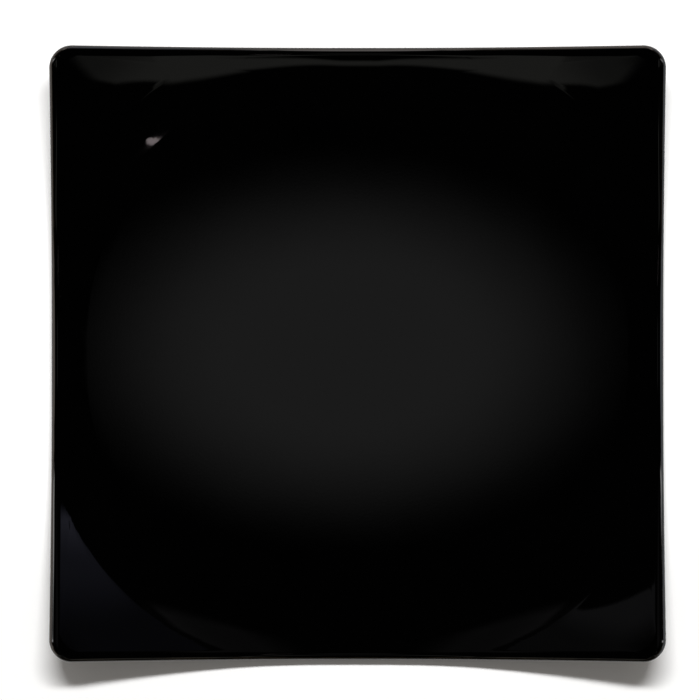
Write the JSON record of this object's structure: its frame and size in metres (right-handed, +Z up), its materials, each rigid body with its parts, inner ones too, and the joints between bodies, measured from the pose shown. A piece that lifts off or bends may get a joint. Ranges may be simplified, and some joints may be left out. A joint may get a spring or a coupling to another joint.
{
  "type": "square dinner plate",
  "caption": "Square dinner plate in black gloss stoneware: a flat well, a sweep up to raised corners, a rounded lip and a bare foot ring, for serving a meal at table.",
  "frame": {"origin": "on the table under the middle of the plate, level with the foot ring's bearing face", "axes": "+Z up, out of the well; +X and +Y square to two of the plate's sides"},
  "size_m": [0.267, 0.267, 0.0232],
  "materials": {
    "stoneware": "fired stoneware, hidden under the glaze",
    "bare_foot": "bare fired stoneware, matt and finely gritty",
    "black_glaze": "deep black gloss glaze",
    "lip_glaze": "gloss glaze, broken thin to a warm dark brown along the lip",
    "under_glaze": "black gloss glaze with a few pinholes and grains"
  },
  "bodies": {
    "root": {"clay_body": "stoneware", "foot_ring": "bare_foot", "face_glaze": "black_glaze", "lip_glaze": "lip_glaze", "under_glaze": "under_glaze", "base_glaze": "under_glaze"}
  },
  "joints": []
}
